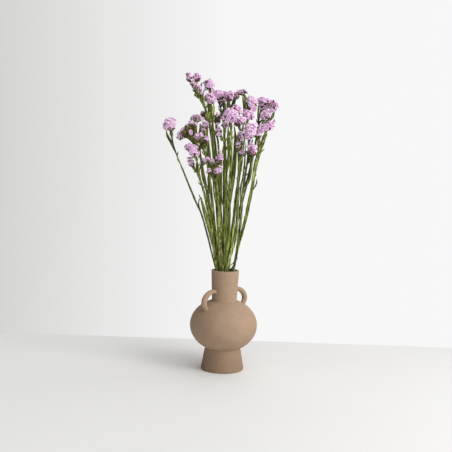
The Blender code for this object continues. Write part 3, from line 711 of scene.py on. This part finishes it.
for number, (name, measures) in enumerate(SPRAYS.items()):
    chance = random.Random(140 + number)
    for place_in_spray in range(len(measures["heads"])):
        facing, seat = neck_frame(name, place_in_spray, measures)
        top = seat - facing * CUP_GAP
        base = top - facing * CUP_HEIGHT
        cup_line = [base - facing * 0.6, base + facing * 2.0, base + facing * 4.4, top]
        stalks[name].append(swept("cup", cup_line, CUP_SIZES, (0, 0, 0, 0), cup_profile))
        for count in range(CUP_SCALES):
            turn = 2.4 * count + chance.uniform(-0.3, 0.3)
            out = frame_along(facing, 0.0) @ Vector((math.cos(turn), math.sin(turn), 0.0))
            way = (facing + out * chance.uniform(0.20, 0.60)).normalized()
            turned = turned_to(way.cross(out).normalized(), way)
            spot = base + facing * (2.5 - 11.0 * (count / CUP_SCALES) ** 1.3) + out * 1.2
            stalks[name].append(placed_copy(scale_leaf, spot, turned, chance.uniform(0.85, 1.35)))

bpy.ops.mesh.primitive_cone_add(vertices=5, radius1=0.75 * MM, radius2=0.45 * MM, depth=MM,
                                location=(0, 0, 0.5 * MM))
twig = bpy.context.object
twig.name = "head_twig"
bpy.ops.object.transform_apply(location=True, rotation=False, scale=False)
twig.hide_render = True

# Bracts
# At each joint the wings end in a small pointed leaf, thin and curved a little along its length, often
# browned.
BRACT_MODEL_LENGTH = 16.4
BRACTS_REACH_DOWN = 240.0
bract_leaf = leaf_grown("bract_leaf", (2.2, 0.55, 2.0), 1.0, (
    (2.0, 0.10, 1.5, 0.97), (2.2, 0.05, 1.35, 0.97), (2.6, -0.10, 1.0, 0.97), (2.8, -0.25, 0.78, 0.97),
    (2.6, -0.4, 0.5, 0.97), (2.2, -0.5, 0.12, 0.97)))
for number, (name, measures) in enumerate(SPRAYS.items()):
    chance = random.Random(340 + number)
    below = chance.uniform(10.0, 24.0)
    while below < BRACTS_REACH_DOWN:
        start, way = point_below(paths[name], below)
        turn = chance.uniform(0.0, math.tau)
        out = frame_along(way, turn) @ Vector((1.0, 0.0, 0.0))
        leaf_way = (way + out * chance.uniform(0.12, 0.45)).normalized()
        turned = turned_to(way.cross(out).normalized(), leaf_way)
        size = chance.uniform(0.35, 0.75) * (1.0 if below < 90.0 else 0.7)
        stalks[name].append(placed_copy(bract_leaf, start + out * 0.8, turned, (size * 0.8, size, size)))
        below += chance.uniform(14.0, 32.0)
for name, measures in SPRAYS.items():
    for below, length, lean in measures["bracts"]:
        start, way = point_below(paths[name], below)
        tilt = math.radians(lean)
        facing = (way + Vector((math.sin(tilt), -0.35, 0.0)) * 1.4).normalized()
        turned = turned_to(facing.cross(way).normalized(), facing)
        size = length / BRACT_MODEL_LENGTH
        stalks[name].append(placed_copy(bract_leaf, start, turned, (size * 1.05, size * 1.1, size)))

# Deep, main and light streak colours for each stalk tone. The deep and light ones carry painted groove shade
# and painted highlights as well as the stalks' real strands.
STEM_TONES = {
    "green": ((0.024, 0.038, 0.005), (0.150, 0.200, 0.034), (0.480, 0.540, 0.170)),
    "pale": ((0.048, 0.072, 0.011), (0.225, 0.295, 0.058), (0.600, 0.650, 0.250)),
    "olive": ((0.030, 0.036, 0.007), (0.165, 0.190, 0.038), (0.480, 0.500, 0.170)),
    "dark": ((0.014, 0.020, 0.006), (0.072, 0.096, 0.022), (0.300, 0.335, 0.115)),
}
stem_materials = {}
for tone, (deep, main, light) in STEM_TONES.items():
    material, tree, shader, place = shader_named("stem_" + tone, 0.72)
    shader.inputs["Specular IOR Level"].default_value = 0.3
    streak = noise_on(tree, stretched(tree, place, (1.0, 1.0, 0.06)), 420.0, 4.0, 0.6)
    patch = noise_on(tree, stretched(tree, place, (1.0, 1.0, 0.5)), 38.0, 3.0)
    # Partly painted light: the lengthwise streaks are the stalk's own pale and dark strands. The same noise
    # also sets the bump, so the deep colour is painted shade in the grooves and the light colour is a painted
    # highlight on the ridges.
    strand_and_painted_light_colour = coloured_by(tree, streak, ((0.38, deep), (0.50, main), (0.62, light)))
    patch_colour = coloured_by(tree, patch, ((0.35, (0.62, 0.62, 0.55)), (0.65, (1.22, 1.18, 1.10))))
    colour = mixed(tree, "MULTIPLY", 1.0, strand_and_painted_light_colour, patch_colour)
    brown = noise_on(tree, place, 70.0, 4.0, 0.7)
    brown_mask = coloured_by(tree, brown, ((0.60, (0.0, 0.0, 0.0)), (0.72, (0.6, 0.6, 0.6))))
    colour = mixed(tree, "MIX", brown_mask, colour, (0.110, 0.070, 0.030))
    tree.links.new(colour, shader.inputs["Base Color"])
    roughened(tree, shader, streak, 0.5, 0.0004)
    stem_materials[tone] = material
for name, measures in SPRAYS.items():
    stalk = joined("stalk_" + name, stalks[name])
    stalk.data.materials.clear()
    stalk.data.materials.append(stem_materials[measures["tone"]])
    bpy.ops.object.shade_smooth_by_angle(angle=math.radians(50.0))
    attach(stalk, "root")
    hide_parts("stem_" + name)

# Florets
# Each floret is a dry papery funnel, cream at its root and lilac at its ruffled five-lobed mouth, with a tiny
# pale flower left in some of them. One is modelled, bent into a few kinds, and copied all over each head.
FLORET_SIDES = 15
FLORET_OUTLINE = ((0.65, 0.0), (1.15, 4.3), (2.9, 6.9), (4.55, 8.0), (4.05, 8.75), (2.4, 9.0), (0.8, 8.2))
RUFFLED_FROM = 2.3
THROAT = 2.4
FACE_WIDTH = 2.15
FACE_FROM = 7.2
floret = turned_form("floret", FLORET_SIDES, FLORET_OUTLINE)
for corner in floret.data.vertices:
    reach = math.hypot(corner.co.x, corner.co.y) / MM
    if reach > RUFFLED_FROM:
        notch = round(math.atan2(corner.co.y, corner.co.x) / (math.tau / FLORET_SIDES)) % 3 == 0
        share = (reach - THROAT) / FACE_WIDTH
        pinch = 1.0 - 0.13 * share if notch else 1.0 + 0.04 * share
        corner.co.x *= pinch
        corner.co.y *= pinch
        corner.co.z += (0.60 if notch else -0.45) * share * MM
reach_layer = floret.data.attributes.new("reach", "FLOAT", "POINT")
for corner in floret.data.vertices:
    out = math.hypot(corner.co.x, corner.co.y) / MM
    rise = corner.co.z / MM
    reach_layer.data[corner.index].value = min(0.50 + 0.11 * out, 1.0) if rise > FACE_FROM else 0.06 * rise
floret.hide_render = True


def reshaped(name, rim_share, rise_share):
    """Kind of floret whose mouth is wider or narrower and whose tube is longer or shorter."""
    kind = bpy.data.objects.new(name, floret.data.copy())
    bpy.context.scene.collection.objects.link(kind)
    for corner in kind.data.vertices:
        out = math.hypot(corner.co.x, corner.co.y) / MM
        share = min(max((out - 1.2) / 3.2, 0.0), 1.0)
        corner.co.x *= 1.0 + (rim_share - 1.0) * share
        corner.co.y *= 1.0 + (rim_share - 1.0) * share
        corner.co.z *= rise_share
    kind.hide_render = True
    return kind


kinds = [floret, reshaped("floret_wide", 1.12, 0.94), reshaped("floret_half", 0.78, 1.06),
         reshaped("floret_shut", 0.55, 1.08)]
KIND_SHARES = (6, 5, 3, 1)

bpy.ops.mesh.primitive_ico_sphere_add(subdivisions=1, radius=0.85 * MM)
pale_flower = bpy.context.object
pale_flower.name = "pale_flower"
bpy.ops.transform.resize(value=(1.0, 1.0, 1.7))
bpy.ops.object.transform_apply(location=False, rotation=False, scale=True)
pale_flower.hide_render = True

LOWEST_ANGLE = math.radians(114.0)
GOLDEN_ANGLE = math.pi * (3.0 - math.sqrt(5.0))
FLORET_RADIUS = 6.3
CROWDING = 1.75
# Share of a head's lower florets that have dropped and left their brown-green husks
DROPPED = {
    "left_1": 0.30, "left_2": 0.95, "left_crown_2": 0.35, "left_inner_3": 0.40, "low_left_1": 0.45,
    "top_left_3": 0.35, "lowest_2": 0.40, "lowest_3": 0.40, "back_1": 1.30, "back_2": 0.40, "crown_2": 0.35,
    "middle_2": 0.45, "low_middle_1": 0.50, "low_middle_2": 0.50, "low_middle_3": 0.40, "right_front_2": 0.30,
    "right_crown_2": 0.20, "right_low_2": 0.60, "far_right_2": 0.25, "low_right_2": 0.45,
}
DROPPED_ELSEWHERE = 0.12
MOSTLY_DROPPED = 0.9
# Single florets that sit apart from their head, on stalklets of their own, as they appear from the front
STRAYS = {
    "far_left_1": ((-140, 526), (-128, 525)),
    "top_left_3": ((-85, 625), (-79, 622), (-71, 611), (-64, 604)),
    "top_left_1": ((-85, 629),),
    "left_crown_2": ((-52, 590), (-45, 587), (-36, 590)),
    "left_crown_1": ((-55, 612), (-41, 611)),
    "crown_1": ((-23, 586), (-22, 577), (-35, 592), (-11, 597)),
    "crown_2": ((-13, 590),),
    "right_crown_2": ((33, 567), (39, 564), (50, 573)),
    "far_right_1": ((67, 580), (77, 577), (73, 572), (82, 581)),
    "far_right_2": ((89, 571), (97, 574)),
    "far_right_3": ((72, 554), (68, 558)),
    "low_right_1": ((61, 523), (69, 526), (96, 549), (90, 531)),
    "middle_front_1": ((-16, 551), (-6, 548), (4, 546), (-28, 558)),
    "middle_front_2": ((10, 547), (24, 553), (29, 549), (38, 560)),
    "middle_2": ((-28, 538), (-24, 526), (-24, 516)),
    "right_front_1": ((28, 545),),
    "right_low_1": ((39, 510), (35, 515), (55, 540), (52, 528)),
    "right_low_2": ((41, 492), (47, 498)),
    "left_1": ((-84, 548), (-61, 546)),
    "left_2": ((-109, 512), (-103, 508), (-85, 518), (-74, 536)),
    "left_inner_2": ((-71, 512), (-61, 514)),
    "left_inner_1": ((-57, 524),),
    "low_left_1": ((-89, 490), (-82, 472), (-68, 472)),
    "low_left_2": ((-86, 462), (-78, 466)),
    "low_left_3": ((-45, 463), (-54, 462)),
    "lowest_2": ((-23, 456), (-20, 480)),
    "lowest_3": ((-28, 436), (-18, 446)),
    "lowest_1": ((-27, 464),),
    "low_middle_1": ((26, 507),),
}
SPREAD_ROUNDS = 30
PUSH = 0.12
LONGEST_STEP = 0.15
DOME_FIT = 0.97


def spread_on_dome(count, half):
    """Evenly spread points on the upper part of an ellipsoid, as vectors from its middle."""
    lowest = math.cos(LOWEST_ANGLE)
    points = []
    for number in range(count):
        rise = 1.0 - (1.0 - lowest) * (number + 0.35) / count
        around = GOLDEN_ANGLE * number
        flat = math.sqrt(max(1.0 - rise * rise, 0.0))
        points.append(Vector((flat * math.cos(around), flat * math.sin(around), rise)))
    for _ in range(SPREAD_ROUNDS):
        moved = []
        for number, point in enumerate(points):
            push = Vector((0, 0, 0))
            for other_number, other in enumerate(points):
                if other_number != number:
                    apart = (point - other) * half
                    push += apart.normalized() / max(apart.length, 0.5) ** 3
            step = point + push * (PUSH * half.x ** 2)
            step = point + (step - point) * min(1.0, LONGEST_STEP / max((step - point).length, 1e-9))
            step.normalize()
            if step.z < lowest:
                flat = math.sqrt(1.0 - lowest * lowest) / math.hypot(step.x, step.y)
                step = Vector((step.x * flat, step.y * flat, lowest))
            moved.append(step)
        points = moved
    reach_x = max(abs(point.x) for point in points)
    reach_y = max(abs(point.y) for point in points)
    fitted = Vector((half.x * DOME_FIT / reach_x, half.y * DOME_FIT / reach_y, half.z))
    return [point * fitted for point in points]


petal, tree, shader, place = shader_named("papery_lilac", 0.78)
shader.inputs["Specular IOR Level"].default_value = 0.2
shader.inputs["Subsurface Weight"].default_value = 0.35
shader.inputs["Subsurface Radius"].default_value = (0.006, 0.004, 0.0055)
shader.inputs["Subsurface Scale"].default_value = 0.8
reach_value = tree.nodes.new("ShaderNodeAttribute")
reach_value.attribute_name = "reach"
tone_value = tree.nodes.new("ShaderNodeAttribute")
tone_value.attribute_name = "tone"
light_petal = coloured_by(tree, reach_value.outputs["Fac"], (
    (0.0, (0.400, 0.380, 0.180)), (0.16, (0.740, 0.640, 0.460)), (0.42, (0.900, 0.760, 0.700)),
    (0.56, (0.860, 0.440, 0.760)), (0.78, (0.920, 0.580, 0.860)), (0.98, (0.970, 0.820, 0.960))))
deep_petal = coloured_by(tree, reach_value.outputs["Fac"], (
    (0.0, (0.220, 0.200, 0.080)), (0.16, (0.460, 0.360, 0.240)), (0.42, (0.700, 0.480, 0.520)),
    (0.56, (0.600, 0.250, 0.530)), (0.78, (0.720, 0.380, 0.680)), (0.98, (0.860, 0.620, 0.850))))
colour = mixed(tree, "MIX", tone_value.outputs["Fac"], light_petal, deep_petal)
crumple = noise_on(tree, place, 700.0, 4.0, 0.65)
crumple_colour = coloured_by(tree, crumple, ((0.25, (0.76, 0.73, 0.77)), (0.70, (1.06, 1.04, 1.06))))
colour = mixed(tree, "MULTIPLY", 1.0, colour, crumple_colour)
tree.links.new(colour, shader.inputs["Base Color"])
roughened(tree, shader, crumple, 0.55, 0.0005)

cream, tree, shader, place = shader_named("pale_corolla", 0.7)
fleck = noise_on(tree, place, 500.0, 3.0)
fleck_colour = coloured_by(tree, fleck, ((0.3, (0.72, 0.60, 0.42)), (0.7, (0.92, 0.86, 0.74))))
tree.links.new(fleck_colour, shader.inputs["Base Color"])

husk, tree, shader, place = shader_named("dry_husk", 0.8)
husk_noise = noise_on(tree, place, 260.0, 4.0, 0.6)
husk_colour = coloured_by(tree, husk_noise, (
    (0.28, (0.045, 0.030, 0.014)), (0.50, (0.125, 0.105, 0.035)), (0.72, (0.260, 0.235, 0.095))))
tree.links.new(husk_colour, shader.inputs["Base Color"])
roughened(tree, shader, husk_noise, 0.5, 0.0004)

HUSK, PETAL, CREAM = range(3)


def clad(thing, number):
    """Gives a piece of a head the heads' three materials, and all its faces one of them."""
    thing.data.materials.clear()
    for material in (husk, petal, cream):
        thing.data.materials.append(material)
    thing.data.polygons.foreach_set("material_index", [number] * len(thing.data.polygons))
    return thing


CORE_SHARE = 0.76
CORE_RISE = 0.04
CORE_REACH = 0.62
CORE_TONE = 0.60
RIB_ROWS = ((130.0, 0.0, 9), (113.0, 0.4, 7))
RIB_SCALES = (0.20, 0.45, 0.70)
MODEL_RADIUS = 4.55
MODEL_TUBE = 8.4
SHORTEST_TUBE = 0.55
ASKEW = 0.24
LUMP_SIZE = 0.16
PALE_FLOWERS = 0.22
HUSKS_LEFT = 4
STRAY_TUBE = 0.85
for number, (name, measures) in enumerate(SPRAYS.items()):
    chance = random.Random(240 + number)
    for place_in_spray, head in enumerate(measures["heads"]):
        label = f"{name}_{place_in_spray + 1}"
        dropped = DROPPED.get(label, DROPPED_ELSEWHERE)
        middle, facing, _ = head_frame(measures, head)
        turned = turned_to(Vector((0, 1, 0)).cross(facing).normalized(), facing)
        half_width = FULLNESS * head[2] / 2.0
        half_length = FULLNESS * head[3] / 2.0
        half_depth = min(half_width, max(half_length, 0.6 * half_width))
        half = Vector((half_width, half_depth, half_length))
        radius = min(FLORET_RADIUS, 0.78 * min(half_width, half_depth, half_length * 1.15))
        mean_half = (half_width * half_depth * half_length) ** (1.0 / 3.0)
        surface = math.tau * mean_half ** 2 * (1.0 - math.cos(LOWEST_ANGLE)) * 1.08
        count = max(4, round(surface * CROWDING / (math.pi * radius ** 2)))
        bpy.ops.mesh.primitive_ico_sphere_add(subdivisions=2, radius=MM)
        core = clad(bpy.context.object, HUSK if dropped > MOSTLY_DROPPED else PETAL)
        core.matrix_world = Matrix.Translation((middle + facing * half_length * CORE_RISE) * MM) @ (
            turned @ Matrix.Diagonal(half * CORE_SHARE)).to_4x4()
        with_value(core, "reach", CORE_REACH)
        with_value(core, "tone", CORE_TONE)
        parts = [core]
        seat = neck_frame(name, place_in_spray, measures)[1]
        local_seat = turned.transposed() @ (seat - middle)
        for angle, around_shift, ribs in RIB_ROWS:
            for rib in range(ribs):
                turn = math.tau * (rib + around_shift) / ribs + chance.uniform(-0.25, 0.25)
                polar = math.radians(angle + chance.uniform(-9.0, 9.0))
                tip = 0.80 * Vector((math.sin(polar) * math.cos(turn) * half.x,
                                     math.sin(polar) * math.sin(turn) * half.y, math.cos(polar) * half.z))
                foot = local_seat * 0.98 + tip * 0.10
                reach = (tip - foot).length
                out = (tip - foot).normalized()
                rib_twig = placed_copy(twig, middle + turned @ foot, turned @ frame_along(out, 0.0),
                                       (1.2, 1.2, reach))
                parts.append(clad(rib_twig, HUSK))
                for share in RIB_SCALES:
                    lean_out = (out + Vector((out.x, out.y, -0.2)) * chance.uniform(0.1, 0.5)).normalized()
                    rib_scale = placed_copy(scale_leaf, middle + turned @ (foot + out * reach * share * 0.9),
                                            turned @ frame_along(lean_out, chance.uniform(0.0, math.tau)),
                                            chance.uniform(0.85, 1.25))
                    parts.append(clad(rib_scale, HUSK))
        head_tone = chance.uniform(0.05, 0.55)
        for local in spread_on_dome(count, half):
            size = radius * chance.uniform(0.72, 1.12)
            lump = noise.noise(local * LUMP_SIZE + Vector((7.0 * number, 3.0 * place_in_spray, 0.0)))
            local = local * (0.94 + 0.16 * lump + chance.uniform(-0.08, 0.06))
            low_share = 0.5 - 0.5 * local.z / half.z
            if chance.random() < dropped * max(0.0, 1.6 * low_share - 0.3 + 0.5 * dropped):
                for _ in range(HUSKS_LEFT):
                    out = Vector((chance.uniform(-1, 1), chance.uniform(-1, 1), chance.uniform(-0.4, 1.0)))
                    husk_way = (local.normalized() + out * 0.6).normalized()
                    husk_left = placed_copy(scale_leaf, middle + turned @ (local * 0.66 + out * 1.6),
                                            turned @ frame_along(husk_way, chance.uniform(0.0, math.tau)),
                                            chance.uniform(0.8, 1.2))
                    parts.append(clad(husk_left, HUSK))
                continue
            reach = local.length
            mouth = local * (math.sqrt(max(reach ** 2 - size ** 2, 0.2 * reach ** 2)) / reach)
            mouth += Vector((chance.uniform(-0.7, 0.7), chance.uniform(-0.7, 0.7), chance.uniform(-0.5, 0.5)))
            slide = local.x * max(0.0, 1.0 - half_depth / half_width)
            root = Vector((slide, 0.0, -0.25 * half_length))
            way = (mouth - root).normalized()
            askew = Vector([chance.uniform(-ASKEW, ASKEW) for _ in range(3)])
            way = (way + askew).normalized()
            tube = max((mouth - root).length / MODEL_TUBE, SHORTEST_TUBE)
            root = mouth - way * tube * MODEL_TUBE
            kind = chance.choices(kinds, KIND_SHARES)[0]
            share = size / MODEL_RADIUS
            spun = turned @ frame_along(way, chance.uniform(0.0, math.tau))
            bloom = placed_copy(kind, middle + turned @ root, spun,
                                (share, share * chance.uniform(0.80, 1.0), tube))
            tone = head_tone + 0.9 * lump + chance.uniform(-0.15, 0.25)
            with_value(bloom, "tone", min(max(tone, 0.0), 1.0))
            parts.append(clad(bloom, PETAL))
            if chance.random() < PALE_FLOWERS:
                pale = placed_copy(pale_flower, middle + turned @ (mouth - way * 0.6),
                                   turned @ frame_along(way, 0.0), share)
                parts.append(clad(pale, CREAM))
        for across, height in STRAYS.get(label, ()):
            spot = in_depth(across, height, middle.y - 0.35 * half_depth + chance.uniform(-3.0, 3.0))
            away = (spot - middle).normalized() + Vector((0.0, -0.35, 0.35))
            away += Vector([chance.uniform(-0.3, 0.3) for _ in range(3)])
            way = away.normalized()
            share = radius * chance.uniform(0.85, 1.10) / MODEL_RADIUS
            root = spot - way * 6.0
            kind = chance.choice(kinds[:3])
            bloom = placed_copy(kind, root, frame_along(way, chance.uniform(0.0, math.tau)),
                                (share, share, STRAY_TUBE))
            tone = head_tone + chance.uniform(-0.25, 0.35)
            with_value(bloom, "tone", min(max(tone, 0.0), 1.0))
            parts.append(clad(bloom, PETAL))
            stalklet = root - seat
            upwards = frame_along(stalklet.normalized(), 0.0)
            thread = placed_copy(twig, seat, upwards, (1.1, 1.1, stalklet.length))
            parts.append(clad(thread, HUSK))
            for step in (0.6, 1.0):
                scale = placed_copy(scale_leaf, seat + stalklet * step,
                                    frame_along(way, chance.uniform(0.0, math.tau)), chance.uniform(0.8, 1.1))
                parts.append(clad(scale, HUSK))
        flowers = joined("florets_" + label, parts)
        bpy.ops.object.shade_smooth_by_angle(angle=math.radians(40.0))
        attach(flowers, "root")
        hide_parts("flowers_" + label)

for helper in (stalk_profile, branch_profile, cup_profile, scale_leaf, twig, bract_leaf, pale_flower, *kinds):
    bpy.data.objects.remove(helper)

# Floor and light
# A pale floor that ends a little behind the vase, pale air behind it that darkens towards the left, and
# one broad soft light high on the right.
FLOOR_BACK = 0.27
bpy.ops.mesh.primitive_plane_add(size=1.0)
floor = bpy.context.object
floor.name = "floor"
bpy.ops.transform.resize(value=(6.0, 4.0, 1.0))
bpy.ops.transform.translate(value=(0.0, FLOOR_BACK - 2.0, 0.0))
bpy.ops.object.transform_apply(location=True, rotation=False, scale=True)
floor_paint, tree, shader, place = shader_named("floor_paint", 0.9)
floor_colour = coloured_by(tree, noise_on(tree, place, 3.0, 2.0),
                           ((0.3, (0.84, 0.84, 0.83)), (0.7, (0.86, 0.86, 0.85))))
tree.links.new(floor_colour, shader.inputs["Base Color"])
floor.data.materials.append(floor_paint)

world = bpy.data.worlds.new("studio_air")
bpy.context.scene.world = world
world.use_nodes = True
tree = world.node_tree
sideways = tree.nodes.new("ShaderNodeSeparateXYZ")
tree.links.new(tree.nodes.new("ShaderNodeTexCoord").outputs["Generated"], sideways.inputs["Vector"])
shifted = tree.nodes.new("ShaderNodeMath")
shifted.operation = "MULTIPLY_ADD"
shifted.inputs[1].default_value = 0.5
shifted.inputs[2].default_value = 0.5
tree.links.new(sideways.outputs["X"], shifted.inputs[0])
air = coloured_by(tree, shifted.outputs["Value"], (
    (0.0, (0.09, 0.09, 0.095)), (0.22, (0.15, 0.15, 0.155)),
    (0.34, (0.64, 0.635, 0.63)), (0.42, (0.80, 0.795, 0.79)),
    (0.50, (0.932, 0.929, 0.930)), (1.0, (0.942, 0.938, 0.936))))
tree.links.new(air, tree.nodes["Background"].inputs["Color"])

LAMP_SPOT = Vector((1.7, -1.2, 1.5))
LAMP_AIM = Vector((0.0, 0.0, 0.3))
bpy.ops.object.light_add(type="AREA", location=LAMP_SPOT)
lamp = bpy.context.object
lamp.name = "right_softbox"
lamp.data.size = 1.3
lamp.data.energy = 30.0
lamp.data.color = (1.0, 0.985, 0.96)
lamp.rotation_euler = (LAMP_AIM - LAMP_SPOT).to_track_quat("-Z", "Y").to_euler()
